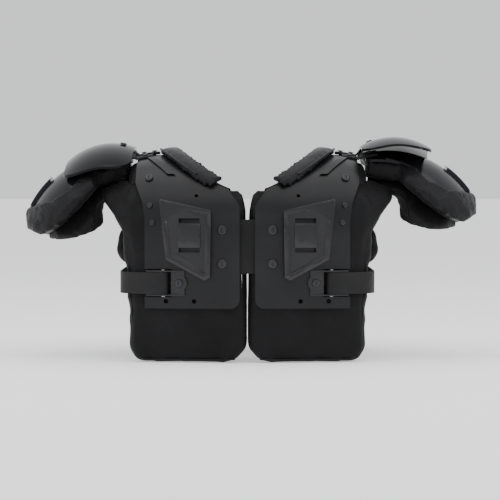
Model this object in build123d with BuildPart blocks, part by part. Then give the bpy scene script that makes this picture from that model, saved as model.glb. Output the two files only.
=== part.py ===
from build123d import *
import math
import os

# Gridiron shoulder pads: two plastic body arches over padded liners, with hinged shoulder cups and epaulets.
# Frame: +Z up, -Y is the wearer's back, +X the wearer's right. The origin is on the floor that the liners stand on,
# midway between the two halves and midway from back to front. Lengths are in millimetres, angles in degrees.
# Everything is drawn for the right half and mirrored, except what hangs differently on each side.

os.makedirs("parts", exist_ok=True)

# ---- driving dimensions -------------------------------------------------------------------------------------
HALF_DEPTH = 142.0        # outer face of a body plate beside the spine
PLAN_CURVE = 0.00085      # how much the plates wrap round the ribs: depth lost per mm squared of x
ARCH_SPRING = 165.0       # height where the side profile starts to curve over the shoulder
ARCH_TOP = 270.0          # crest of the plates
ARCH_DROOP = 0.0035       # fall of the crest outboard of DROOP_FROM, per mm squared
DROOP_FROM = 110.0
ARCH_POWER = 2.3          # superellipse power of the side profile
PLATE = 3.0               # plate thickness
PAD_OUT, PAD_IN = -9.2, -30.0   # liner's outer and inner faces, measured outward from the plate's outer face
SPLIT_Z = 228.0           # back and front liners end here and the shoulder liner starts
EDGE_IN = 10.0            # plate's edge beside the spine
EDGE_OUT = 133.0          # plate's edge beside the ribs
PLATE_FOOT = 70.0         # plate's lower edge
ARCH_EDGE = 146.0         # arch's outer edge at the crest
NECK_A, NECK_B = 100.0, 128.0   # half axes of the neck opening in plan

CAP_X, CAP_Z = 149.0, 270.0     # axis on which cup and epaulet swing, parallel to Y
CUP_R = 130.0
CUP_CENTRE = (172.6, 141.6)     # centre of the cup's sphere, in X and Z, as the lower-hanging side rests
CUP_T = 3.0
RIGHT_CUP_LIFT = 7.5            # the right cup rests this much higher than the left one
RIGHT_PAD_REACH = 308.0         # outermost X of the right deltoid pad, whose foam end is pressed flat
DELTOID_OUT, DELTOID_IN = 126.4, 98.0
ROLL_OUT = 134.0                # outer radius of the deltoid pad's roll beyond the cup
FLAP_OUT, FLAP_IN = 97.6, 88.5  # lining flap sewn inside the deltoid pad

EPAULET_T = 3.0
EPAULET_R = 87.0                # crest radius across the shoulder
EPAULET_RY = 210.0              # crest radius from back to front
EPAULET_CENTRE = (177.4, 195.5) # centre of the crest arc, in X and Z
EPAULET_X0, EPAULET_X1 = 152.5, 241.0
EPAULET_HALF = 90.0             # half its length from back to front
EPAULET_TILT = 7.0              # the left one hangs low at the back, the right one low at the front
LEFT_EPAULET_LIFT, RIGHT_EPAULET_LIFT = 4.0, 14.5
BELT_Z0, BELT_Z1, BELT_T = 89.0, 117.0, 2.0
ROLLER_X, ROLLER_Y, ROLLER_R = 108.5, -134.0, 4.0
STRAP_Z0, STRAP_Z1 = 115.0, 185.0
STRAP_OUT, STRAP_T = 136.0, 2.4
SCREW_R, HEAD_R, HEAD_H = 2.4, 6.3, 3.0
RIVET_R, RIVET_HEAD_R = 1.6, 3.6
HOLE_GAP = 0.1

CENTRE_SCREWS = [(32.7, 171.5), (32.7, 128.0)]
ARM_SCREW = (128.0, 238.0)
ARM_RIVETS = [(126.0, 203.0), (122.6, 181.0)]
BRACKET_SCREW = (88.0, 103.0)
OPEN_HOLES = [(105.0, 79.5), (68.6, 79.5)]
OPEN_HOLE_R = 3.0
TOP_HOLE, TOP_HOLE_R = (65.9, 215.6), 2.4
EYELET_X, EYELET_ZS = 24.0, [96.0, 126.0, 156.0, 186.0]
HOOK_X, HOOK_Y = 128.5, 134.0   # bar of the front hook that the belt is looped round

# ---- the arch surface -----------------------------------------------------------------------------------------
def arch_yz(x, s):
    """Point of the side profile at distance x from the spine: s runs 0 at the floor, 1 at the spring, 2 at the crest."""
    depth = HALF_DEPTH - PLAN_CURVE * x * x
    crest = ARCH_TOP - ARCH_DROOP * max(0.0, x - DROOP_FROM) ** 2
    if s <= 1:
        return -depth, ARCH_SPRING * s
    angle = math.radians(90 * (s - 1))
    across = math.cos(angle) ** (2 / ARCH_POWER)
    up = math.sin(angle) ** (2 / ARCH_POWER)
    return -depth * across, ARCH_SPRING + (crest - ARCH_SPRING) * up


def arch_offset(x, s, out):
    """The same point moved outward along the profile's normal."""
    if s >= 2:
        y, z = arch_yz(x, 2)
        return 0.0, z + out
    step = 0.01
    y0, z0 = arch_yz(x, max(0.0, s - step))
    y1, z1 = arch_yz(x, min(2.0, s + step))
    y, z = arch_yz(x, s)
    run = math.hypot(y1 - y0, z1 - z0)
    return y - (z1 - z0) / run * out, z + (y1 - y0) / run * out


STATIONS = [0.5, 50.0, 90.0, 118.0, 148.0, 200.0]


def arch_band(out, inner, s_from, s_to, xs=STATIONS, steps=12):
    """Solid between two offsets of the arch surface, on the back side, from s_from to s_to."""
    ss = [s_from + (s_to - s_from) * i / steps for i in range(steps + 1)]
    with BuildPart() as band:
        for x in xs:
            outer = [Vector(x, *arch_offset(x, s, out)) for s in ss]
            inside = [Vector(x, *arch_offset(x, s, inner)) for s in ss]
            with BuildSketch(Plane.YZ.offset(x)):
                with BuildLine():
                    Spline(*[(p.Y, p.Z) for p in outer])
                    Line((outer[-1].Y, outer[-1].Z), (inside[-1].Y, inside[-1].Z))
                    Spline(*[(p.Y, p.Z) for p in reversed(inside)])
                    Line((inside[0].Y, inside[0].Z), (outer[0].Y, outer[0].Z))
                make_face()
        loft()
    return band.part


def front_outline(points, y_from=-220.0, y_to=0.0, radius=0.0):
    """Prism along Y of an outline given in X and Z; points may hold (x, z) corners that are all rounded by radius."""
    with BuildPart() as prism:
        with BuildSketch(Plane.XZ.offset(-y_to)) as face:
            with BuildLine():
                Polyline(*points, close=True)
            make_face()
            if radius:
                fillet(face.vertices(), radius)
        extrude(amount=y_to - y_from)
    return prism.part


def neck_cylinder(a, b):
    """The neck opening as a tall elliptic cylinder."""
    with BuildPart() as neck:
        with BuildSketch(Plane.XY.offset(100)):
            Ellipse(a, b)
        extrude(amount=250)
    return neck.part


def surface_y(x, z):
    """Y of the plate's outer face on the back at a given x and z."""
    low, high = 0.0, 2.0
    for _ in range(40):
        mid = (low + high) / 2
        if arch_yz(x, mid)[1] < z:
            low = mid
        else:
            high = mid
    return arch_yz(x, low)[0]



def plate_frame(x, z):
    """Plane on the back plate's outer face at (x, z), facing outward."""
    step = 0.5
    slope_x = (surface_y(x + step, z) - surface_y(x - step, z)) / (2 * step)
    slope_z = (surface_y(x, z + step) - surface_y(x, z - step)) / (2 * step)
    return Plane(origin=(x, surface_y(x, z), z), x_dir=(1, slope_x, 0), z_dir=(slope_x, -1, slope_z))


def top_frame(x, y, out):
    """Plane facing outward on an offset of the arch near the crest."""
    low, high = 1.0, 2.0
    for _ in range(40):
        mid = (low + high) / 2
        if arch_offset(x, mid, out)[0] < -abs(y):
            low = mid
        else:
            high = mid
    place_y, place_z = arch_offset(x, low, out)
    near_y, near_z = arch_offset(x, low - 0.01, out)
    run = math.hypot(place_y - near_y, place_z - near_z)
    lean = 2 * ARCH_DROOP * max(0.0, x - DROOP_FROM)
    normal = (lean, -(place_z - near_z) / run, (place_y - near_y) / run) if y else (lean, 0, 1)
    return Plane(origin=(x, place_y, place_z), x_dir=(0, 1, 0), z_dir=normal)


def box_between(low, high):
    """Box from its lowest to its highest corner."""
    with BuildPart() as block:
        with Locations([((low[0] + high[0]) / 2, (low[1] + high[1]) / 2, (low[2] + high[2]) / 2)]):
            Box(*[b - a for a, b in zip(low, high)])
    return block.part


def to_front(shape):
    """The same piece on the wearer's front."""
    with BuildPart() as turned:
        mirror(shape, about=Plane.XZ)
    return turned.part


def to_left(shape):
    """The same piece on the left half."""
    with BuildPart() as turned:
        mirror(shape, about=Plane.YZ)
    return turned.part


def lifted(shape, angle):
    """The piece swung up about the right shoulder's cap axis."""
    return shape.rotate(Axis((CAP_X, 0, CAP_Z), (0, -1, 0)), angle)


def common(*shapes):
    """What all the shapes share."""
    with BuildPart() as shared:
        add(shapes[0])
        for shape in shapes[1:]:
            add(shape, mode=Mode.INTERSECT)
    return shared.part


def without(shape, *tools):
    """The shape with the tools cut away."""
    with BuildPart() as left_over:
        add(shape)
        for tool in tools:
            add(tool, mode=Mode.SUBTRACT)
    return left_over.part


def plan_prism(points, z_from=60.0, z_to=330.0, smooth=False):
    """Prism along Z of an outline in X and Y that is drawn for the back and mirrored to the front."""
    both = points + [(x, -y) for x, y in reversed(points) if y != 0]
    with BuildPart() as prism:
        with BuildSketch(Plane.XY.offset(z_from)):
            with BuildLine():
                if smooth:
                    Spline(*both)
                    Line(both[-1], both[0])
                else:
                    Polyline(*both, close=True)
            make_face()
        extrude(amount=z_to - z_from)
    return prism.part


# ---- fasteners --------------------------------------------------------------------------------------------------
def screw(frame, length, head_r=HEAD_R, head_h=HEAD_H, shank_r=SCREW_R, slot=True):
    """Domed screw or rivet whose head stands on the frame's plane and whose shank goes back through it."""
    lift = 0.5
    with BuildPart() as piece:
        with BuildSketch(frame.offset(lift)):
            Circle(head_r)
        extrude(amount=head_h)
        rim = piece.edges().filter_by(GeomType.CIRCLE).sort_by(lambda e: (e.center() - frame.origin).dot(frame.z_dir))
        fillet(rim[-1], head_h * 0.72)
        with BuildSketch(frame.offset(lift)):
            Circle(shank_r)
        extrude(amount=-length)
        if slot:
            with BuildSketch(frame.offset(lift + head_h)):
                Rectangle(1.4, head_r * 1.1)
            extrude(amount=-1.2, mode=Mode.SUBTRACT)
    return piece.part


def tee_nut(frame, depth):
    """Flat flanged nut behind the plate, its flange at the given depth."""
    with BuildPart() as piece:
        with BuildSketch(frame.offset(-depth)):
            Circle(6.0)
            Circle(SCREW_R + 0.5, mode=Mode.SUBTRACT)
        extrude(amount=-1.0)
    return piece.part


def hole_tool(frame, radius, depth=14.0):
    """Drill for a hole across a plate at the frame."""
    with BuildPart() as drill:
        with BuildSketch(frame.offset(depth / 2)):
            Circle(radius)
        extrude(amount=-depth)
    return drill.part


def group(shapes):
    """Several separate solids as one node."""
    return Compound(children=[s for shape in shapes for s in shape.solids()])


# ---- body plates --------------------------------------------------------------------------------------------------
PLATE_OUTLINE = [(EDGE_IN, PLATE_FOOT), (EDGE_OUT, PLATE_FOOT), (EDGE_OUT, 183), (136, 206), (ARCH_EDGE, 232),
                 (ARCH_EDGE, 310), (24, 310), (24, 222), (EDGE_IN, 203)]


def plate_prism():
    """Front-view outline of a body plate, with its corners rounded."""
    with BuildPart() as prism:
        with BuildSketch(Plane.XZ) as face:
            with BuildLine():
                Polyline(*PLATE_OUTLINE, close=True)
            make_face()
            low = [v for v in face.vertices() if abs(v.Z - PLATE_FOOT) < 0.1]
            fillet([v for v in low if v.X > 60], 22)
            fillet([v for v in face.vertices() if abs(v.X - EDGE_IN) < 0.1 and v.Z < 80], 12)
            fillet([v for v in face.vertices() if 180 < v.Z < 235 and v.X > 100], 30)
            fillet([v for v in face.vertices() if abs(v.X - EDGE_IN) < 0.1 and v.Z > 190], 14)
        extrude(amount=220)
    return prism.part


def body_plate(cuts):
    """Back plate of the right half with the given cuts; its top end stops short of the crest."""
    blank = common(arch_band(0, -PLATE, 0.42, 1.975), plate_prism())
    return without(blank, neck_cylinder(NECK_A, NECK_B), *cuts)


def shoulder_rib():
    """Moulded bead beside the collar flap, on the back plate."""
    ring = without(neck_cylinder(139, 151), neck_cylinder(131, 144))
    span = front_outline([(86, 244), (145, 244), (145, 300), (86, 300)], y_to=-46)
    return common(arch_band(2.2, -0.5, 0.9, 1.93), ring, span)


def notch():
    """Opening at the plate's outer edge where the belt comes out."""
    return box_between((98, -160, 85), (150, -100, 121))


STRAP_RIVET = (136.0, 29.0)     # through the cup's strap, the plate and the bridge
TOP_RIVET_XS = [125.0, 139.0]   # through the epaulet's strap and the bridge
strap_rivet_hole = hole_tool(top_frame(STRAP_RIVET[0], -STRAP_RIVET[1], 2.8), RIVET_R + HOLE_GAP, 30)
top_rivet_holes = [hole_tool(top_frame(x, 0, 4.8), RIVET_R + HOLE_GAP, 30) for x in TOP_RIVET_XS]
back_screw_frames = [plate_frame(x, z) for x, z in CENTRE_SCREWS]
back_holes = [hole_tool(f, SCREW_R + HOLE_GAP) for f in back_screw_frames]
back_holes += [hole_tool(plate_frame(*ARM_SCREW), SCREW_R + HOLE_GAP), hole_tool(plate_frame(*BRACKET_SCREW), SCREW_R + HOLE_GAP)]
back_holes += [hole_tool(plate_frame(x, z), RIVET_R + HOLE_GAP) for x, z in ARM_RIVETS]
back_holes += [hole_tool(Plane(origin=(x, surface_y(x, z), z), z_dir=(0, -1, 0)), OPEN_HOLE_R) for x, z in OPEN_HOLES]
back_holes += [hole_tool(plate_frame(*TOP_HOLE), TOP_HOLE_R), strap_rivet_hole]
with BuildPart() as back_plate:
    add(body_plate([notch()] + back_holes))
    add(shoulder_rib())
back_plate_right = back_plate.part
front_holes = [hole_tool(plate_frame(EYELET_X, z), 2.6) for z in EYELET_ZS]
front_holes += [hole_tool(plate_frame(*ARM_SCREW), SCREW_R + HOLE_GAP), box_between((107.5, -160, 86), (116.5, -100, 118))]
front_holes += [hole_tool(plate_frame(x, z), RIVET_R + HOLE_GAP) for x, z in ARM_RIVETS] + [strap_rivet_hole]
front_plate_right = to_front(body_plate(front_holes))

# The bridge under both plates' top ends joins them over the shoulder.
BRIDGE = (-3.8, -6.2)


def over_crest(out, inner, s_from, half):
    """Band that runs over the crest from back to front, cut to a front-view prism."""
    with BuildPart() as whole:
        add(common(arch_band(out, inner, s_from, 2.0), half))
        mirror(whole.part, about=Plane.XZ)
    return whole.part


shoulder_bridge_right = without(
    over_crest(*BRIDGE, 1.72, front_outline([(60, 255), (ARCH_EDGE - 1, 240), (ARCH_EDGE - 1, 300), (60, 300)])),
    neck_cylinder(NECK_A, NECK_B), strap_rivet_hole, to_front(strap_rivet_hole), *top_rivet_holes)


# ---- raised panels --------------------------------------------------------------------------------------------------
PANEL_RISE = 9.5
PANEL_CORNERS = [(114, 212), (46.6, 197), (48, 110.7), (55, 106.7), (105.3, 133.7)]
RECESS_CORNERS = [(105.5, 201.5), (54.5, 190.5), (55, 118), (58, 116.5), (98.5, 139)]
SLOT_X0, SLOT_X1 = 61.4, 88.4
PANEL_STATIONS = [40.0, 80.0, 120.0]
SLOTS = [(180.6, 186.6), (142.8, 148.8)]


def raised_panel(with_slots):
    """Moulded pocket on a body plate: a rim round a floor that falls towards the spine, with a strap bridge."""
    blank = common(arch_band(PANEL_RISE, 0.6, 0.6, 1.7, PANEL_STATIONS), front_outline(PANEL_CORNERS, radius=2.5))
    wedge_plan = [(RECESS_CORNERS[0][0] + 1, -PANEL_RISE - 131.6), (54, -PANEL_RISE - 139.5 + 6), (54, -190),
                  (RECESS_CORNERS[0][0] + 1, -190)]
    with BuildPart() as wedge:
        with BuildSketch(Plane.XY.offset(60)):
            with BuildLine():
                Polyline(*wedge_plan, close=True)
            make_face()
        extrude(amount=180)
    fall = common(wedge.part, front_outline(RECESS_CORNERS, radius=1.5))
    if not with_slots:
        return without(blank, fall)
    bridge = box_between((SLOT_X0 - 0.5, -200, SLOTS[1][1]), (SLOT_X1 + 0.5, -100, SLOTS[0][0]))
    tunnel = common(arch_band(PANEL_RISE - 4, -1, 0.6, 1.7, PANEL_STATIONS),
                    box_between((SLOT_X0, -200, SLOTS[1][0]), (SLOT_X1, -100, SLOTS[0][1])))
    mouths = [box_between((SLOT_X0, -200, z0), (SLOT_X1, -120, z1)) for z0, z1 in SLOTS]
    return without(blank, without(fall, bridge), tunnel, *mouths)


back_panel_right = raised_panel(True)
front_panel_right = to_front(raised_panel(False))


# ---- collar flap ------------------------------------------------------------------------------------------------------
def collar_flap():
    """Soft padded flap that lies on the plates along the neck opening."""
    ring = without(neck_cylinder(117, 138.4), neck_cylinder(88, 127))
    ends = front_outline([(36, 236), (52, 223), (88, 236), (125, 240), (125, 300), (20, 300)])
    return common(over_crest(8.0, 0.9, 0.9, ends), ring)


collar_flap_right = collar_flap()


# ---- liners -----------------------------------------------------------------------------------------------------------
LINER_OUTLINE = [(0.4, 20), (0.4, 205), (4, 214), (12, SPLIT_Z), (156.5, SPLIT_Z), (156.5, 250), (195, 250),
                 (195, SPLIT_Z), (190, 212), (175, 195), (166, 180),
                 (161, 165), (158, 130), (157, 85), (153, 80), (153, 20), (148, 8), (138, 1), (120, 0), (30, 0),
                 (16, 3), (6, 14)]
FRONT_LINER_OUTLINE = [(0.4, 20), (0.4, 205), (4, 214), (12, SPLIT_Z), (156.5, SPLIT_Z), (156.5, 250), (195, 250),
                       (195, SPLIT_Z), (190, 212), (176, 195),
                       (169, 180), (177, 160), (181, 139), (178, 126), (168, 119.5), (157, 118.5), (157, 85), (153, 80), (153, 20), (148, 8),
                       (138, 1), (120, 0), (30, 0), (16, 3), (6, 14)]


def body_liner(outline):
    """Padded liner behind a body plate, from the floor to the height where the shoulder liner starts."""
    blank = common(arch_band(PAD_OUT, PAD_IN, 0.0, 1.9), front_outline(outline))
    arm = box_between((155.8, -66, 122), (200, 0, 260))
    return without(blank, neck_cylinder(NECK_A - 7, NECK_B - 14), arm)


back_liner_right = body_liner(LINER_OUTLINE)
front_liner_right = to_front(body_liner(FRONT_LINER_OUTLINE))
shoulder_liner_right = without(
    over_crest(PAD_OUT, PAD_IN, 1.2, front_outline([(20, SPLIT_Z + 0.5), (155.2, SPLIT_Z + 0.5), (155.2, 300), (20, 300)])),
    neck_cylinder(NECK_A - 7, NECK_B - 14))


# ---- hinge strap between the halves, and the blank care label ---------------------------------------------------
hinge_tools = [hole_tool(frame, SCREW_R + HOLE_GAP, 30) for frame in back_screw_frames]
hinge_strap_right = without(box_between((0.2, -STRAP_OUT, STRAP_Z0), (42, -STRAP_OUT + STRAP_T, STRAP_Z1)), *hinge_tools)
care_label = box_between((-11.5, -134.3, 96), (-7, -133.8, 114))


# ---- belt with its roller bracket and hook -----------------------------------------------------------------------
def ribbon(points, thickness, z0, z1):
    """Webbing standing on edge that follows a smooth path in plan."""
    with BuildLine(mode=Mode.PRIVATE) as path:
        Spline(*points)
    steps = 28
    sides = [[], []]
    for i in range(steps + 1):
        place = path.line @ (i / steps)
        heading = path.line % (i / steps)
        for side, sign in zip(sides, (1, -1)):
            side.append((place.X - sign * heading.Y * thickness / 2, place.Y + sign * heading.X * thickness / 2))
    with BuildPart() as band:
        with BuildSketch(Plane.XY.offset(z0)):
            with BuildLine():
                Spline(*sides[0])
                Line(sides[0][-1], sides[1][-1])
                Spline(*reversed(sides[1]))
                Line(sides[1][0], sides[0][0])
            make_face()
        extrude(amount=z1 - z0)
    return band.part


def belt_eye(x, y, inner, z0, z1):
    """Half ring of webbing that turns round a bar from its inboard side."""
    with BuildPart() as eye:
        with BuildSketch(Plane.XY.offset(z0)):
            with Locations((x, y)):
                Circle(inner + BELT_T)
                Circle(inner, mode=Mode.SUBTRACT)
            with Locations((x + 20.02, y)):
                Rectangle(40, 40, mode=Mode.SUBTRACT)
        extrude(amount=z1 - z0)
    return eye.part


ROLLER_LOOP, HOOK_LOOP = ROLLER_R + 0.4, 2.3
back_lay = ROLLER_LOOP + BELT_T / 2
hook_lay = HOOK_LOOP + BELT_T / 2
with BuildPart() as belt:
    add(ribbon([(ROLLER_X, ROLLER_Y - back_lay), (122, -137.2), (136, -131), (152, -121.5), (162.5, -108), (165.5, -88),
                (166, -40), (166, 40), (165.5, 88), (162.5, 108), (152, 121.5), (140, 131.5),
                (HOOK_X, HOOK_Y + hook_lay)], BELT_T, BELT_Z0, BELT_Z1))
    add(belt_eye(ROLLER_X, ROLLER_Y, ROLLER_LOOP, BELT_Z0, BELT_Z1))
    add(belt_eye(HOOK_X, HOOK_Y, HOOK_LOOP, BELT_Z0, BELT_Z1))
    add(ribbon([(ROLLER_X, ROLLER_Y + back_lay), (122, -130), (137, -129.8)], BELT_T, BELT_Z0, BELT_Z1))
    add(ribbon([(HOOK_X, HOOK_Y - hook_lay), (135, 130.6), (143, 128.6)], BELT_T, BELT_Z0, BELT_Z1))
belt_right = belt.part

EAR_T = 1.8
bracket_frame = plate_frame(*BRACKET_SCREW)
ear_plan = [(81, -139.2), (97.5, -139.5), (104, -141), (ROLLER_X + 2, -141), (131, -133), (131, -128.5),
            (ROLLER_X, -128.5), (98.6, -130), (98.6, -134.3), (81, -137.0)]
with BuildPart() as bracket:
    with BuildSketch(Plane.XY.offset(BELT_Z0 - 0.6 - EAR_T)):
        with BuildLine():
            Polyline(*ear_plan, close=True)
        make_face()
    extrude(amount=EAR_T)
    with BuildSketch(Plane.XY.offset(BELT_Z1 + 0.6)):
        with BuildLine():
            Polyline(*ear_plan, close=True)
        make_face()
    extrude(amount=EAR_T)
    with BuildSketch(Plane.XY.offset(BELT_Z0 - 0.6 - EAR_T)):
        with BuildLine():
            Polyline((81, -139.2), (98.6, -136.3), (98.6, -134.15), (81, -137.0), close=True)
        make_face()
    extrude(amount=BELT_Z1 - BELT_Z0 + 1.2 + 2 * EAR_T)
    with Locations(bracket_frame.offset(1.6)):
        Cylinder(10.5, 3.0)
    with Locations(Location((ROLLER_X, ROLLER_Y, 103))):
        Cylinder(1.6, 60, mode=Mode.SUBTRACT)
    add(hole_tool(bracket_frame, SCREW_R + HOLE_GAP, 30), mode=Mode.SUBTRACT)
belt_bracket_right = bracket.part

with BuildPart() as pin:
    with BuildSketch(Plane.XY.offset(BELT_Z0 - 0.6 - EAR_T - 0.9)):
        with Locations((ROLLER_X, ROLLER_Y)):
            Circle(1.5)
    extrude(amount=BELT_Z1 - BELT_Z0 + 1.2 + 2 * EAR_T + 1.8)
    for z0 in (BELT_Z0 - 0.6 - EAR_T - 1.2, BELT_Z1 + 0.6 + EAR_T + 0.2):
        with BuildSketch(Plane.XY.offset(z0)):
            with Locations((ROLLER_X, ROLLER_Y)):
                Circle(2.6)
        extrude(amount=1.0)
roller_pin_right = pin.part

with BuildPart() as roller:
    with BuildSketch(Plane.XY.offset(BELT_Z0 - 0.3)):
        with Locations((ROLLER_X, ROLLER_Y)):
            Circle(ROLLER_R)
            Circle(1.8, mode=Mode.SUBTRACT)
    extrude(amount=BELT_Z1 - BELT_Z0 + 0.6)
belt_roller_right = roller.part

with BuildPart() as hook:
    add(box_between((109.6, 124.6, 83.5), (114.4, 127.6, 120.5)))
    add(box_between((110.4, 127.5, 94), (113.6, 133.2, 110)))
    add(box_between((109.5, 133, 84.5), (130, 135, 121.5)))
    add(box_between((119, 120, BELT_Z0 - 0.4), (127, 140, BELT_Z1 + 0.4)), mode=Mode.SUBTRACT)
t_hook_right = hook.part


# ---- fasteners of the plates ---------------------------------------------------------------------------------------
bracket_screw = screw(bracket_frame.offset(3.1), 10.5, 5.2, 2.4)
plate_screws = [screw(f, 8.0) for f in back_screw_frames] + [bracket_screw]
plate_screws += [tee_nut(Plane(origin=(x, -STRAP_OUT, z), z_dir=(0, -1, 0)), 2.55) for x, z in CENTRE_SCREWS]
arm_screw = screw(plate_frame(*ARM_SCREW), 6.5, 5.4, 2.6)
arm_nut = tee_nut(plate_frame(*ARM_SCREW), 3.3)
plate_screws += [tee_nut(bracket_frame, 3.3), arm_screw, arm_nut, to_front(arm_screw), to_front(arm_nut)]
plate_screws_right = group(plate_screws)


arm_rivets = [screw(plate_frame(x, z), 4.6, RIVET_HEAD_R, 1.8, RIVET_R, slot=False) for x, z in ARM_RIVETS]
strap_rivet = screw(top_frame(STRAP_RIVET[0], -STRAP_RIVET[1], 2.8), 9.4, RIVET_HEAD_R, 1.3, RIVET_R, slot=False)
top_rivets = [screw(top_frame(x, 0, 4.8), 11.0, RIVET_HEAD_R, 1.5, RIVET_R, slot=False) for x in TOP_RIVET_XS]
plate_rivets_right = group(arm_rivets + [to_front(r) for r in arm_rivets] + [strap_rivet, to_front(strap_rivet)] + top_rivets)

with BuildPart() as eyelet_ring:
    for z in EYELET_ZS:
        frame = plate_frame(EYELET_X, z)
        for level, amount in ((0.35, 0.9), (-PLATE - 1.25, 0.9)):
            with BuildSketch(frame.offset(level)):
                Circle(4.6)
                Circle(1.9, mode=Mode.SUBTRACT)
            extrude(amount=amount)
        with BuildSketch(frame.offset(-PLATE - 1.0)):
            Circle(2.45)
            Circle(1.9, mode=Mode.SUBTRACT)
        extrude(amount=PLATE + 1.6)
eyelets_right = group([to_front(eyelet_ring.part)])


# ---- shoulder cup, its straps and the deltoid pad, as the lower-hanging side rests --------------------------------
CUP_PLAN = [(156, -45), (178, -55), (200, -62), (215, -72), (228, -83), (240, -85), (254, -78), (268, -66), (282, -46),
            (290, -22), (292, 0)]
CUP_PLAN_GROWN = [(150, -46), (178, -56), (200, -63), (214.5, -73), (228, -84.2), (240, -86.2), (255, -79), (269, -66.7),
                  (283, -46.5), (291.2, -22), (293.2, 0)]
DELTOID_PLAN = [(156, -50), (198, -60), (199, -96), (218, -103), (240, -101), (262, -90), (282, -70), (297, -42),
                (304, -18), (305, 0)]
DELTOID_SIDE = [(150, 237), (198, 229), (207, 217), (227.5, 194), (248, 175.5), (271, 161), (302, 172), (325, 178),
                (325, 300), (150, 300)]
FLAP_PLAN = [(157, -48), (197, -58), (199, -82), (235, -84), (262, -62), (273, -36), (275, 0)]
FLAP_SIDE = [(150, 225), (165, 212), (181, 194), (198, 173.6), (217, 161.6), (238, 157), (280, 155), (280, 300), (150, 300)]
STRAP_Y0, STRAP_Y1 = 17.0, 41.0
TAB_OUT, TAB_IN = CUP_R + 2.5, CUP_R + 0.4


def shell(outer, inner):
    """Upper half of a hollow ball about the cup's centre."""
    with BuildPart() as ball:
        with BuildSketch(Plane.XZ) as half:
            with Locations((CUP_CENTRE[0], CUP_CENTRE[1])):
                Circle(outer)
                Circle(inner, mode=Mode.SUBTRACT)
            with Locations((CUP_CENTRE[0] - 200, CUP_CENTRE[1])):
                Rectangle(400, 500, mode=Mode.SUBTRACT)
        revolve(axis=Axis((CUP_CENTRE[0], 0, CUP_CENTRE[1]), (0, 0, 1)), revolution_arc=360)
    return ball.part


cup_prism = plan_prism(CUP_PLAN, CUP_CENTRE[1], smooth=True)
end_panel = common(shell(CUP_R + 4.5, CUP_R - 1),
                   plan_prism([(264, -21), (290, -19), (291.5, -14), (291.5, 0)], CUP_CENTRE[1]))
with BuildPart() as cup:
    add(common(shell(CUP_R, CUP_R - CUP_T), cup_prism))
    add(end_panel)
cup_frames = []
for y in (-28, 28):
    reach = math.sqrt(TAB_OUT ** 2 - (163 - CUP_CENTRE[0]) ** 2 - y ** 2)
    out_dir = (163 - CUP_CENTRE[0], y, reach)
    cup_frames.append(Plane(origin=(163, y, CUP_CENTRE[1] + reach), x_dir=(0, 1, 0), z_dir=out_dir))
tab_tools = [hole_tool(f, RIVET_R + HOLE_GAP) for f in cup_frames]
shoulder_cup_rest = without(cup.part, *tab_tools)
tab = common(shell(TAB_OUT, TAB_IN), box_between((149.3, STRAP_Y0, 230), (173, STRAP_Y1, 300)))
cup_tabs_rest = group([without(tab, *tab_tools), without(mirror(tab, about=Plane.XZ), *tab_tools)])
cup_rivets_rest = group([screw(f, 6.1, RIVET_HEAD_R, 1.3, RIVET_R, slot=False) for f in cup_frames])

deltoid_prism = common(plan_prism(DELTOID_PLAN), front_outline(DELTOID_SIDE, -220, 220))
with BuildPart() as deltoid:
    add(common(shell(DELTOID_OUT, DELTOID_IN), deltoid_prism))
    add(without(common(shell(ROLL_OUT, DELTOID_IN), deltoid_prism), plan_prism(CUP_PLAN_GROWN, smooth=True)))
    for f in cup_frames:
        add(hole_tool(f, 3.0, 26), mode=Mode.SUBTRACT)
deltoid_pad_rest = deltoid.part
deltoid_flap_rest = common(shell(FLAP_OUT, FLAP_IN), plan_prism(FLAP_PLAN), front_outline(FLAP_SIDE, -220, 220))

strap_lane = box_between((126, -STRAP_Y1, 200), (148.8, -STRAP_Y0, 300))
arch_strap = without(common(arch_band(2.8, 0.8, 1.5, 2.0), strap_lane), strap_rivet_hole)
cup_straps_right = group([arch_strap, to_front(arch_strap)])


# ---- epaulet ---------------------------------------------------------------------------------------------------------
EPAULET_STRAP_Y = 14.0


def dome(outer, inner, x0, x1, half, corner):
    """Doubly curved cap over the shoulder's crest, with a rounded rectangular outline in plan."""
    ys = [-half * 1.1 + half * 2.2 * i / 8 for i in range(9)]
    cx, cz = EPAULET_CENTRE
    angles = [math.radians(a) for a in range(20, 131, 11)]
    with BuildPart() as cap:
        for y in ys:
            drop = EPAULET_RY - math.sqrt(EPAULET_RY ** 2 - y ** 2)
            out = [(cx + outer * math.cos(a), cz - drop + outer * math.sin(a)) for a in angles]
            ins = [(cx + inner * math.cos(a), cz - drop + inner * math.sin(a)) for a in reversed(angles)]
            with BuildSketch(Plane.XZ.offset(-y)):
                with BuildLine():
                    Spline(*out)
                    Line(out[-1], ins[0])
                    Spline(*ins)
                    Line(ins[-1], out[0])
                make_face()
        loft()
    with BuildPart() as outline:
        with BuildSketch(Plane.XY.offset(150)):
            with Locations(((x0 + x1) / 2, 0)):
                RectangleRounded(x1 - x0, 2 * half, corner)
        extrude(amount=200)
    return common(cap.part, outline.part)


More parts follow.
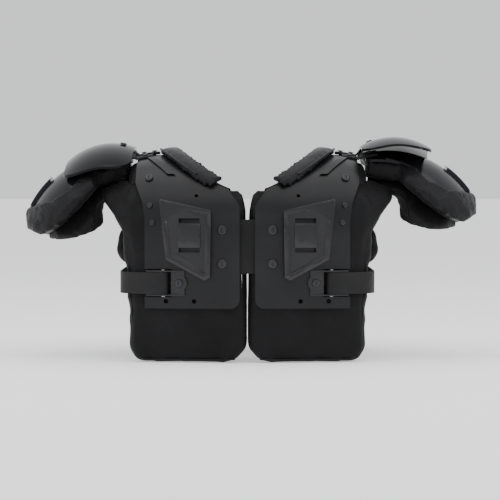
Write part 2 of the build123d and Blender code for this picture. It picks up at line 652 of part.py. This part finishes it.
epaulet_frame = Plane(origin=(168, 0, EPAULET_CENTRE[1] + math.sqrt(EPAULET_R ** 2 - (168 - EPAULET_CENTRE[0]) ** 2)),
                      x_dir=(0, 1, 0), z_dir=(168 - EPAULET_CENTRE[0], 0, 86.5))
epaulet_hole = hole_tool(epaulet_frame, SCREW_R + HOLE_GAP)
epaulet_flat = without(dome(EPAULET_R, EPAULET_R - EPAULET_T, EPAULET_X0, EPAULET_X1, EPAULET_HALF, 30), epaulet_hole)
epaulet_tab_flat = without(common(
    dome(EPAULET_R - EPAULET_T - 0.35, EPAULET_R - EPAULET_T - 2.6, 149.5, 177, 30, 1),
    box_between((149.5, -EPAULET_STRAP_Y, 230), (177, EPAULET_STRAP_Y, 300))), epaulet_hole)
epaulet_screw_flat = screw(epaulet_frame, 7.6, 4.6, 2.4)
epaulet_strap_right = without(
    over_crest(4.8, 0.8, 1.6, box_between((118, -EPAULET_STRAP_Y, 200), (148.8, 0, 300))),
    *top_rivet_holes)


def tilted(shape, angle):
    """The epaulet's pieces rocked about a front-to-back level line."""
    return shape.rotate(Axis((CAP_X, 0, CAP_Z), (1, 0, 0)), angle)


# ---- the finished nodes --------------------------------------------------------------------------------------------
BOTH_SIDES = {
    "back_plate": back_plate_right,
    "front_plate": front_plate_right,
    "shoulder_bridge": shoulder_bridge_right,
    "back_panel": back_panel_right,
    "front_panel": front_panel_right,
    "collar_flap": collar_flap_right,
    "back_liner": back_liner_right,
    "front_liner": front_liner_right,
    "shoulder_liner": shoulder_liner_right,
    "hinge_strap": hinge_strap_right,
    "epaulet_strap": epaulet_strap_right,
    "cup_straps": cup_straps_right,
    "belt": belt_right,
    "belt_bracket": belt_bracket_right,
    "roller_pin": roller_pin_right,
    "belt_roller": belt_roller_right,
    "t_hook": t_hook_right,
    "plate_screws": plate_screws_right,
    "plate_rivets": plate_rivets_right,
    "eyelets": eyelets_right,
}
CUP_SIDE = {
    "shoulder_cup": shoulder_cup_rest,
    "cup_tabs": cup_tabs_rest,
    "cup_rivets": cup_rivets_rest,
    "deltoid_pad": deltoid_pad_rest,
    "deltoid_flap": deltoid_flap_rest,
}
EPAULET_SIDE = {
    "epaulet": epaulet_flat,
    "epaulet_tab": epaulet_tab_flat,
    "epaulet_screw": epaulet_screw_flat,
}


right_reach = box_between((100, -200, 50), (RIGHT_PAD_REACH, 200, 400))


def export(label, shape):
    """Writes a labelled piece to the parts folder."""
    solids = shape.solids()
    piece = solids[0] if len(solids) == 1 else Compound(children=list(solids))
    piece.label = label
    export_step(piece, f"parts/{label}.step")


for name, shape in BOTH_SIDES.items():
    export(f"{name}_right", shape)
    export(f"{name}_left", to_left(shape))
for name, shape in CUP_SIDE.items():
    export(f"{name}_right", common(lifted(shape, RIGHT_CUP_LIFT), right_reach))
    export(f"{name}_left", to_left(shape))
for name, shape in EPAULET_SIDE.items():
    export(f"{name}_right", lifted(tilted(shape, -EPAULET_TILT), RIGHT_EPAULET_LIFT))
    export(f"{name}_left", to_left(lifted(tilted(shape, EPAULET_TILT), LEFT_EPAULET_LIFT)))
export("care_label", care_label)
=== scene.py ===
import bpy
import bmesh
import math
from mathutils import Matrix, Vector, noise


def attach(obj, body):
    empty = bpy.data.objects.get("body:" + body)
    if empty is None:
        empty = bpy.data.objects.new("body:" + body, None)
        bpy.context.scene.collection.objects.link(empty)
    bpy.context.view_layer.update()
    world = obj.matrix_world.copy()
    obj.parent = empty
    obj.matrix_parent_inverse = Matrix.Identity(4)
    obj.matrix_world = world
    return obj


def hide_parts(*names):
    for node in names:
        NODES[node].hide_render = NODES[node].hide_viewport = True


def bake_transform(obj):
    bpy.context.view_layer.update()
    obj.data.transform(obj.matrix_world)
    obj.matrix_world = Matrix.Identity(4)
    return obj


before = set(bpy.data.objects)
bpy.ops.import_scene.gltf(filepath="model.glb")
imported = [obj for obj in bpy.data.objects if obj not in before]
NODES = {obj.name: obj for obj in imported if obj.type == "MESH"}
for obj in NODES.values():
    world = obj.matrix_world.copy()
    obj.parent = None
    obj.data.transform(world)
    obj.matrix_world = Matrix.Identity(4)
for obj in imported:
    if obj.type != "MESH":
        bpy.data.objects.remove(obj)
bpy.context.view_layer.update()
MM = 0.001
HINGE_X, HINGE_Z = 149.0, 270.0       # the cups' and epaulets' hinge line, in millimetres as in the CAD
CUP_X, CUP_Z = 172.6, 141.6           # centre of the cup's sphere
RIGHT_CUP_LIFT = 7.5                  # the right cup rests this many degrees higher than the left one


# ---------------------------------------------------------------- materials
def material(name, color, rough, metallic=0.0):
    """A mottled base shared by every material: colour and roughness both vary with noise."""
    mat = bpy.data.materials.new(name)
    mat.use_nodes = True
    nt = mat.node_tree
    bsdf = next(n for n in nt.nodes if n.type == "BSDF_PRINCIPLED")
    bsdf.inputs["Metallic"].default_value = metallic
    coord = nt.nodes.new("ShaderNodeTexCoord")

    def tex(kind, **kw):
        n = nt.nodes.new(kind)
        for k, v in kw.items():
            if k in n.inputs:
                n.inputs[k].default_value = v
            else:
                setattr(n, k, v)
        nt.links.new(coord.outputs["Object"], n.inputs["Vector"])
        return n

    broad = tex("ShaderNodeTexNoise", Scale=14.0, Detail=5.0, Roughness=0.6)
    ramp = nt.nodes.new("ShaderNodeValToRGB")
    ramp.color_ramp.elements[0].color = [c * 0.72 for c in color] + [1]
    ramp.color_ramp.elements[1].color = [min(1, c * 1.35 + 0.002) for c in color] + [1]
    ramp.color_ramp.elements[0].position = 0.3
    ramp.color_ramp.elements[1].position = 0.72
    nt.links.new(broad.outputs["Fac"], ramp.inputs["Fac"])
    nt.links.new(ramp.outputs["Color"], bsdf.inputs["Base Color"])
    smear = tex("ShaderNodeTexNoise", Scale=45.0, Detail=4.0, Roughness=0.55)
    rr = nt.nodes.new("ShaderNodeMapRange")
    rr.inputs["To Min"].default_value = max(0.02, rough * 0.82)
    rr.inputs["To Max"].default_value = min(1.0, rough * 1.2)
    nt.links.new(smear.outputs["Fac"], rr.inputs["Value"])
    nt.links.new(rr.outputs["Result"], bsdf.inputs["Roughness"])
    return mat, nt, bsdf, tex


def add_bumps(nt, bsdf, layers):
    """Chains bump nodes: each layer is (height socket, strength, distance)."""
    last = None
    for socket, strength, distance in layers:
        b = nt.nodes.new("ShaderNodeBump")
        b.inputs["Strength"].default_value = strength
        b.inputs["Distance"].default_value = distance
        nt.links.new(socket, b.inputs["Height"])
        if last:
            nt.links.new(last.outputs["Normal"], b.inputs["Normal"])
        last = b
    nt.links.new(last.outputs["Normal"], bsdf.inputs["Normal"])


def plastic(name, color, rough, grain=0.0, wave=0.05, specular=0.35):
    """Moulded plastic: a slow wave, a fine grain and faint scuffs."""
    mat, nt, bsdf, tex = material(name, color, rough)
    fine = tex("ShaderNodeTexVoronoi", Scale=1400.0)
    soft = tex("ShaderNodeTexNoise", Scale=9.0, Detail=2.0)
    scuff = tex("ShaderNodeTexNoise", Scale=260.0, Detail=3.0, Roughness=0.7)
    add_bumps(nt, bsdf, [(soft.outputs["Fac"], wave, 0.004), (fine.outputs["Distance"], grain, 0.0004),
                         (scuff.outputs["Fac"], grain * 0.4 + 0.01, 0.0002)])
    bsdf.inputs["Specular IOR Level"].default_value = specular
    return mat


WEAVE_SCALE = 288.0


def fabric(name, color, rough, weave=0.35, wrinkle=0.5, sheen=0.25, wrinkle_scale=22.0):
    """Woven nylon: crossed threads over broad wrinkles."""
    mat, nt, bsdf, tex = material(name, color, rough)
    warp = tex("ShaderNodeTexWave", Scale=WEAVE_SCALE, Distortion=0.4)
    warp.bands_direction = "X"
    weft = tex("ShaderNodeTexWave", Scale=WEAVE_SCALE, Distortion=0.4)
    weft.bands_direction = "Z"
    mix = nt.nodes.new("ShaderNodeMath")
    mix.operation = "MULTIPLY"
    nt.links.new(warp.outputs["Fac"], mix.inputs[0])
    nt.links.new(weft.outputs["Fac"], mix.inputs[1])
    folds = tex("ShaderNodeTexNoise", Scale=wrinkle_scale, Detail=4.0, Roughness=0.55, Distortion=0.9)
    add_bumps(nt, bsdf, [(folds.outputs["Fac"], wrinkle, 0.006), (mix.outputs["Value"], weave, 0.0004)])
    bsdf.inputs["Sheen Weight"].default_value = sheen
    bsdf.inputs["Sheen Roughness"].default_value = 0.4
    bsdf.inputs["Specular IOR Level"].default_value = 0.16
    return mat


def webbing_mat(name, color, rough, axis="X", scale=300.0):
    """Woven strap with ribs along one axis."""
    mat, nt, bsdf, tex = material(name, color, rough)
    ribs = tex("ShaderNodeTexWave", Scale=scale, Distortion=0.2)
    ribs.bands_direction = axis
    cross = tex("ShaderNodeTexNoise", Scale=700.0, Detail=2.0)
    add_bumps(nt, bsdf, [(ribs.outputs["Fac"], 0.55, 0.0006), (cross.outputs["Fac"], 0.3, 0.0003)])
    bsdf.inputs["Sheen Weight"].default_value = 0.02
    bsdf.inputs["Specular IOR Level"].default_value = 0.25
    return mat


def metal(name, color, rough, metallic=0.6):
    """Painted or bare steel with small dents."""
    mat, nt, bsdf, tex = material(name, color, rough, metallic)
    grain = tex("ShaderNodeTexNoise", Scale=900.0, Detail=3.0)
    dent = tex("ShaderNodeTexNoise", Scale=120.0, Detail=2.0)
    add_bumps(nt, bsdf, [(dent.outputs["Fac"], 0.1, 0.0006), (grain.outputs["Fac"], 0.15, 0.0002)])
    return mat


PLATE = plastic("moulded_plate_mat", (0.0048, 0.0048, 0.0056), 0.32, grain=0.14, wave=0.12, specular=0.26)
PANEL = plastic("moulded_panel_mat", (0.0055, 0.0055, 0.0065), 0.20, grain=0.06, wave=0.05, specular=0.42)
GLOSS_CUP = plastic("gloss_cup_mat", (0.006, 0.006, 0.008), 0.18, grain=0.02, wave=0.10, specular=0.18)
GLOSS_EPAULET = plastic("gloss_epaulet_mat", (0.0035, 0.0035, 0.0045), 0.12,
                        grain=0.01, wave=0.03, specular=0.11)
COVER = fabric("nylon_cover_mat", (0.0035, 0.0035, 0.0042), 0.46, wrinkle=1.0, sheen=0.02)
COLLAR = fabric("collar_cover_mat", (0.006, 0.006, 0.0075), 0.40, wrinkle=0.22, sheen=0.03)
LINER = fabric("nylon_liner_mat", (0.0028, 0.0028, 0.0034), 0.6,
               wrinkle=0.6, sheen=0.015, wrinkle_scale=16.0)
WEB = webbing_mat("webbing_mat", (0.0035, 0.0035, 0.004), 0.6, "Y")
BELT = webbing_mat("elastic_belt_mat", (0.003, 0.003, 0.0036), 0.55, "Z", 260.0)
STEEL = metal("painted_steel_mat", (0.006, 0.006, 0.007), 0.42, 0.2)
PIN = metal("pin_mat", (0.25, 0.25, 0.26), 0.35, 1.0)
ROLLER = plastic("roller_mat", (0.03, 0.03, 0.034), 0.34, grain=0.1)
SCREW = metal("black_screw_mat", (0.022, 0.022, 0.025), 0.26, 0.5)
PIPING = fabric("piping_mat", (0.011, 0.011, 0.013), 0.42, weave=0.5, wrinkle=0.1, sheen=0.05)
LABEL = fabric("label_mat", (0.80, 0.80, 0.78), 0.7, weave=0.4, wrinkle=0.1, sheen=0.05)
BY_NODE = {
    "back_plate": PLATE, "front_plate": PLATE, "shoulder_bridge": PLATE,
    "back_panel": PANEL, "front_panel": PANEL,
    "shoulder_cup": GLOSS_CUP, "epaulet": GLOSS_EPAULET,
    "back_liner": LINER, "front_liner": LINER, "shoulder_liner": LINER, "deltoid_flap": LINER,
    "deltoid_pad": COVER, "collar_flap": COLLAR, "care_label": LABEL,
    "cup_straps": WEB, "cup_tabs": WEB, "hinge_strap": WEB, "epaulet_strap": WEB, "epaulet_tab": WEB,
    "belt": BELT, "belt_bracket": STEEL, "t_hook": STEEL, "roller_pin": PIN, "belt_roller": ROLLER,
    "plate_screws": SCREW, "plate_rivets": SCREW, "eyelets": SCREW, "cup_rivets": SCREW, "epaulet_screw": SCREW,
}
BEVELLED = ("back_panel", "front_panel", "belt_bracket")
for label, obj in NODES.items():
    base = label.rsplit("_", 1)[0] if label.endswith(("_left", "_right")) else label
    obj.data.materials.clear()
    obj.data.materials.append(BY_NODE[base])
    if base in BEVELLED:
        weld = obj.modifiers.new("weld", "WELD")
        weld.merge_threshold = 0.00001
        bev = obj.modifiers.new("edge", "BEVEL")
        bev.width = 0.0008
        bev.segments = 2
        bev.limit_method = "ANGLE"
        bev.angle_limit = math.radians(38)
        bev.harden_normals = True


# ---------------------------------------------------------------- the arch surface, in millimetres
HALF_DEPTH, PLAN_CURVE = 142.0, 0.00085
SPRING, TOP, POWER = 165.0, 270.0, 2.3
DROOP, DROOP_FROM = 0.0035, 110.0


def arch_yz(x, s):
    """y and z on the arch's back; s is 0 at the floor, 1 at the spring line and 2 at the crest."""
    depth = HALF_DEPTH - PLAN_CURVE * x * x
    crest = TOP - DROOP * max(0.0, x - DROOP_FROM) ** 2
    if s <= 1:
        return -depth, SPRING * s
    a = math.radians(90 * (min(s, 2.0) - 1))
    y = -depth * max(0.0, math.cos(a)) ** (2 / POWER)
    return y, SPRING + (crest - SPRING) * math.sin(a) ** (2 / POWER)


def arch_point(x, s, out):
    """The arch's point moved outward along its normal."""
    if s >= 2:
        return 0.0, arch_yz(x, 2)[1] + out
    y0, z0 = arch_yz(x, max(0.0, s - 0.01))
    y1, z1 = arch_yz(x, min(2.0, s + 0.01))
    y, z = arch_yz(x, s)
    run = math.hypot(y1 - y0, z1 - z0)
    return y - (z1 - z0) / run * out, z + (y1 - y0) / run * out


def on_arch(x, z, out):
    """y on the back where the offset surface reaches height z."""
    lo, hi = 0.0, 2.0
    for _ in range(30):
        mid = (lo + hi) / 2
        if arch_point(x, mid, out)[1] < z:
            lo = mid
        else:
            hi = mid
    return arch_point(x, lo, out)[0]


# ---------------------------------------------------------------- padded fabric
def link(name, mesh, mat):
    """A smooth-shaded object with one material."""
    obj = bpy.data.objects.new(name, mesh)
    bpy.context.scene.collection.objects.link(obj)
    mesh.materials.clear()
    mesh.materials.append(mat)
    for p in mesh.polygons:
        p.use_smooth = True
    return obj


SHRINK, INWARD_LIMIT, SLIP_LIMIT, SLIP_SHARE = 0.0002, 0.0003, 0.001, 0.25
CLOTH_FRAMES = 20


def inflated(node, name, mat, voxel, cap, creases, seed, pressure=7.0):
    """Padded piece grown from a CAD solid. The cloth step's move is held between INWARD_LIMIT and cap,
    which most vertices reach, and the creases are noise, not simulated folds."""
    mesh = NODES[node].data.copy()
    obj = link(name, mesh, mat)
    rm = obj.modifiers.new("remesh", "REMESH")
    rm.mode = "VOXEL"
    rm.voxel_size = voxel
    dg = bpy.context.evaluated_depsgraph_get()
    mesh = bpy.data.meshes.new_from_object(obj.evaluated_get(dg))
    obj.modifiers.clear()
    obj.data = mesh
    rest = [v.co.copy() for v in mesh.vertices]
    normals = [v.normal.copy() for v in mesh.vertices]
    for v, n in zip(mesh.vertices, normals):
        v.co = v.co - n * SHRINK
    cloth = obj.modifiers.new("cloth", "CLOTH")
    cloth.settings.use_pressure = True
    cloth.settings.uniform_pressure_force = pressure
    cloth.settings.effector_weights.gravity = 0
    cloth.settings.tension_stiffness = 12
    cloth.settings.compression_stiffness = 12
    cloth.settings.quality = 4
    cloth.point_cache.frame_start = 1
    cloth.point_cache.frame_end = CLOTH_FRAMES
    for f in range(1, CLOTH_FRAMES + 1):
        bpy.context.scene.frame_set(f)
    dg = bpy.context.evaluated_depsgraph_get()
    moved = [v.co.copy() for v in obj.evaluated_get(dg).data.vertices]
    obj.modifiers.clear()
    bpy.context.scene.frame_set(1)
    for v, was, now, n in zip(mesh.vertices, rest, moved, normals):
        d = now - was
        out = min(cap, max(-INWARD_LIMIT, d.dot(n)))
        slip = (d - n * d.dot(n)) * SLIP_SHARE
        if slip.length > SLIP_LIMIT:
            slip = slip * (SLIP_LIMIT / slip.length)
        v.co = was + slip + n * (out + creases(was, seed))
    for p in mesh.polygons:
        p.use_smooth = True
    mesh.materials.clear()
    mesh.materials.append(mat)
    sub = obj.modifiers.new("subdiv", "SUBSURF")
    sub.levels = 1
    sub.render_levels = 1
    return obj


def mirrored(obj, name, lift=0.0):
    """The left-hand copy of a padded piece; lift undoes the right cup's higher rest."""
    mesh = obj.data.copy()
    pivot = Vector((HINGE_X * MM, 0, HINGE_Z * MM))
    turn = Matrix.Rotation(math.radians(lift), 4, Vector((0, 1, 0)))
    for v in mesh.vertices:
        co = turn @ (v.co - pivot) + pivot
        v.co = Vector((-co.x, co.y, co.z))
    mesh.flip_normals()
    copy = link(name, mesh, obj.data.materials[0])
    sub = copy.modifiers.new("subdiv", "SUBSURF")
    sub.levels = 1
    sub.render_levels = 1
    return copy


def liner_creases(p, seed):
    """Broad noise, finer towards the sides, with a waist where the belt crosses."""
    side = min(1.0, max(0.0, (abs(p.x) - 0.120) / 0.03))
    big = noise.noise(Vector((p.x * 14 + seed, p.y * 14, p.z * 9)))
    small = noise.noise(Vector((p.x * 30, p.y * 30 + seed, p.z * 62)))
    belt = math.exp(-((p.z - 0.103) / 0.016) ** 2) * side
    return 0.0016 * big + (0.0004 + 0.0026 * side) * small - 0.0030 * belt + 0.0022 * side


def cover_creases(p, seed):
    """Folds running round the cup, deepest at the roll's rim."""
    across, up = abs(p.x) - CUP_X * MM, p.z - CUP_Z * MM
    ang = math.atan2(up, across)
    fold = noise.noise(Vector((ang * 26 + seed, p.y * 16, p.x * 6)))
    small = noise.noise(Vector((p.x * 70, p.y * 70 + seed, p.z * 70)))
    rim = min(1.0, max(0.0, (math.hypot(across, p.y, up) - 0.120) / 0.01))
    return (0.0012 + 0.0014 * rim) * fold + 0.0007 * small - 0.0012


def shoulder_creases(p, seed):
    """Slight noise, with a fuller edge outside the plate."""
    reach = min(1.0, max(0.0, (abs(p.x) - 0.144) / 0.006))
    return 0.0010 * noise.noise(Vector((p.x * 20 + seed, p.y * 20, p.z * 20))) + 0.0022 * reach


def smooth_creases(p, seed):
    """Slight noise only."""
    return 0.0006 * noise.noise(Vector((p.x * 30 + seed, p.y * 30, p.z * 30)))


# base name, material, voxel, outward cap, creases, noise seed, body, lift undone on the left
SOFT = [("back_liner", LINER, 0.006, 0.0035, liner_creases, 1.0, "half", 0.0),
        ("front_liner", LINER, 0.006, 0.0035, liner_creases, 5.0, "half", 0.0),
        ("shoulder_liner", LINER, 0.0045, 0.0025, shoulder_creases, 9.0, "half", 0.0),
        ("collar_flap", COLLAR, 0.004, 0.002, smooth_creases, 3.0, "half", 0.0),
        ("deltoid_pad", COVER, 0.005, 0.0028, cover_creases, 7.0, "cup", RIGHT_CUP_LIFT),
        ("deltoid_flap", LINER, 0.0045, 0.002, smooth_creases, 8.0, "cup", RIGHT_CUP_LIFT)]
for base, mat, voxel, cap, creases, seed, where, lift in SOFT:
    right = inflated(f"{base}_right", f"{base}_soft_right", mat, voxel, cap, creases, seed)
    left = mirrored(right, f"{base}_soft_left", lift)
    for piece, side in ((right, "right"), (left, "left")):
        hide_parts(f"{base}_{side}")
        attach(piece, f"{side}_half" if where == "half" else f"cup_{side}")


# ---------------------------------------------------------------- piping and seams
def cord_edge(name, points, radius, body):
    """A round piping along points given in millimetres."""
    curve = bpy.data.curves.new(name, "CURVE")
    curve.dimensions = "3D"
    sp = curve.splines.new("NURBS")
    sp.points.add(len(points) - 1)
    for p, c in zip(sp.points, points):
        p.co = (c[0] * MM, c[1] * MM, c[2] * MM, 1)
    sp.order_u = 3
    sp.use_endpoint_u = True
    curve.bevel_depth = radius * MM
    curve.bevel_resolution = 3
    curve.materials.append(PIPING)
    obj = bpy.data.objects.new(name, curve)
    bpy.context.scene.collection.objects.link(obj)
    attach(obj, body)


def raised(x, y, z, lift):
    """A point turned about the hinge line by lift degrees."""
    a = math.radians(lift)
    rx, rz = x - HINGE_X, z - HINGE_Z
    return HINGE_X + rx * math.cos(a) - rz * math.sin(a), y, HINGE_Z + rx * math.sin(a) + rz * math.cos(a)


def cup_point(x, y, radius, lift):
    """A point on a sphere about the cup's centre, raised with the cup."""
    dx = x - CUP_X
    return raised(x, y, CUP_Z + math.sqrt(max(0.0, radius ** 2 - dx * dx - y * y)), lift)


LINER_EDGE = [(194, 224), (190, 212), (175, 195), (166, 180), (161, 165), (158, 130), (157, 85), (153, 78),
              (153, 20), (148, 8), (138, 2), (120, 1), (75, 1), (30, 1), (16, 4)]
CUP_EDGE = [(182, 58), (200, 64), (215, 74), (228, 85), (240, 87), (255, 79.5), (269, 67), (283, 47),
            (291.5, 22), (293.5, 0)]


def collar_rim():
    """The collar flap's edge: a ring in plan, kept where it meets the arch high enough."""
    rim = []
    for k in range(31):
        t = math.radians(-64 + 128 * k / 30)
        x, y = 116.5 * math.cos(t), 137.6 * math.sin(t)
        lo, hi = 1.0, 2.0
        for _ in range(30):
            mid = (lo + hi) / 2
            if arch_point(x, mid, 7.6)[0] < -abs(y):
                lo = mid
            else:
                hi = mid
        z = arch_point(x, lo, 7.6)[1]
        if z > 240:
            rim.append((x, y, z))
    return rim


for side, sx in (("right", 1), ("left", -1)):
    half, cup_body = f"{side}_half", f"cup_{side}"
    lift = RIGHT_CUP_LIFT if side == "right" else 0.0
    back = [(x - 3.0 if x > 100 else x, on_arch(x, z, -10.0) - 0.6, max(z, 3.4)) for x, z in LINER_EDGE]
    cord_edge(f"liner_piping_back_{side}", [(sx * x, y, z) for x, y, z in back], 0.9, half)
    cord_edge(f"liner_piping_front_{side}", [(sx * x, -y, z) for x, y, z in back if z < 84], 0.9, half)
    cord_edge(f"collar_piping_{side}", [(sx * x, y, z) for x, y, z in collar_rim()], 1.5, half)
    for end, tag in ((-1, "back"), (1, "front")):
        edge = [cup_point(x, end * y, 132.0, lift) for x, y in CUP_EDGE]
        cord_edge(f"roll_seam_{tag}_{side}", [(sx * x, y, z) for x, y, z in edge], 1.1, cup_body)


# ---------------------------------------------------------------- straps
def band(name, sections, mat):
    """Webbing from a list of four-corner sections."""
    bm = bmesh.new()
    rings = [[bm.verts.new(Vector(c) * MM) for c in s] for s in sections]
    for a, b in zip(rings, rings[1:]):
        for i in range(4):
            bm.faces.new((a[i], a[(i + 1) % 4], b[(i + 1) % 4], b[i]))
    bm.faces.new(rings[0][::-1])
    bm.faces.new(rings[-1])
    bmesh.ops.recalc_face_normals(bm, faces=bm.faces)
    mesh = bpy.data.meshes.new(name)
    bm.to_mesh(mesh)
    bm.free()
    obj = link(name, mesh, mat)
    bv = obj.modifiers.new("bevel", "BEVEL")
    bv.width = 0.0006
    bv.segments = 2
    return obj


hinge_sections = []
for x in range(-42, 43, 3):
    y = -136.0 + 0.2 * math.sin(x * 0.4)
    hinge_sections.append([(x, y, 115), (x, -133.7, 115), (x, -133.7, 185), (x, y, 185)])
hinge = band("hinge_webbing", hinge_sections, WEB)
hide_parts("hinge_strap_left", "hinge_strap_right")
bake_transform(hinge)


def epaulet_place(x, y, z, tilt, lift):
    """A point of the level epaulet, rocked from back to front and then raised."""
    a = math.radians(tilt)
    rz = z - HINGE_Z
    return raised(x, y * math.cos(a) - rz * math.sin(a), HINGE_Z + y * math.sin(a) + rz * math.cos(a), lift)


for side, sx, tilt, lift in (("right", 1, -7.0, 14.5), ("left", -1, 7.0, 4.0)):
    sections = []
    for x in (118, 121, 126, 131, 136, 141, 145):
        z = arch_yz(x, 2)[1]
        corners = [(-14, z + 0.9), (-14, z + 4.7), (14, z + 4.7), (14, z + 0.9)]
        sections.append([(sx * x, cy, cz) for cy, cz in corners])
    for x in (153, 158, 163, 169, 176):
        top = 195.5 + math.sqrt(83.6 ** 2 - (x - 177.4) ** 2)
        corners = [(x, -14, top - 2.2), (x, -14, top), (x, 14, top), (x, 14, top - 2.2)]
        sections.append([(sx * px, py, pz) for px, py, pz in (epaulet_place(*c, tilt, lift) for c in corners)])
    strap = band(f"epaulet_webbing_{side}", sections, WEB)
    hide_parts(f"epaulet_strap_{side}", f"epaulet_tab_{side}")
    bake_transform(strap)


# ---------------------------------------------------------------- floor, light and camera
def stage_mesh(name, verts, faces, color):
    """A pale surface that isn't part of the object."""
    mesh = bpy.data.meshes.new(name)
    mesh.from_pydata(verts, [], faces)
    mat, nt, bsdf, _ = material(name + "_mat", color, 0.9)
    ramp = next(n for n in nt.nodes if n.type == "VALTORGB")
    ramp.color_ramp.elements[0].color = [c * 0.985 for c in color] + [1]
    ramp.color_ramp.elements[1].color = list(color) + [1]
    bsdf.inputs["Emission Color"].default_value = (1, 1, 1, 1)
    bsdf.inputs["Emission Strength"].default_value = 0.38
    link(name, mesh, mat)


FLOOR_HALF = 25.0
verts = [(sx * FLOOR_HALF, sy * FLOOR_HALF, -0.0005) for sx, sy in ((-1, -1), (1, -1), (1, 1), (-1, 1))]
stage_mesh("floor", verts, [(0, 1, 2, 3)], (0.93, 0.93, 0.93))


def area(name, loc, target, size, size_y, power):
    """A soft rectangular light that the camera doesn't see."""
    light = bpy.data.lights.new(name, "AREA")
    light.shape = "RECTANGLE"
    light.size, light.size_y, light.energy = size, size_y, power
    obj = bpy.data.objects.new(name, light)
    obj.location = loc
    obj.rotation_euler = (Vector(target) - Vector(loc)).to_track_quat("-Z", "Y").to_euler()
    obj.visible_camera = False
    bpy.context.scene.collection.objects.link(obj)


area("top_softbox", (0.0, -0.25, 1.7), (0, 0, 0.2), 3.0, 2.0, 22)
area("left_softbox", (-2.1, -0.9, 0.9), (0, 0, 0.15), 0.8, 1.5, 12)
area("right_softbox", (2.1, -0.9, 0.9), (0, 0, 0.15), 0.8, 1.5, 12)
area("front_fill", (0.0, -2.6, 1.1), (0, 0, 0.12), 1.6, 0.8, 3)
world = bpy.data.worlds.new("studio")
world.use_nodes = True
world.node_tree.nodes["Background"].inputs["Color"].default_value = (0.97, 0.98, 1.0, 1)
world.node_tree.nodes["Background"].inputs["Strength"].default_value = 1.0
bpy.context.scene.world = world

cam = bpy.data.cameras.new("camera")
cam.sensor_width = 36.0
cam.lens = 160.0
camera = bpy.data.objects.new("camera", cam)
elev = math.radians(1.8)
target = Vector((0.0034, 0.0, 0.1415))
camera.location = target + Vector((0, -math.cos(elev), math.sin(elev))) * 3.0
camera.rotation_euler = (target - camera.location).to_track_quat("-Z", "Y").to_euler()
bpy.context.scene.collection.objects.link(camera)
bpy.context.scene.camera = camera
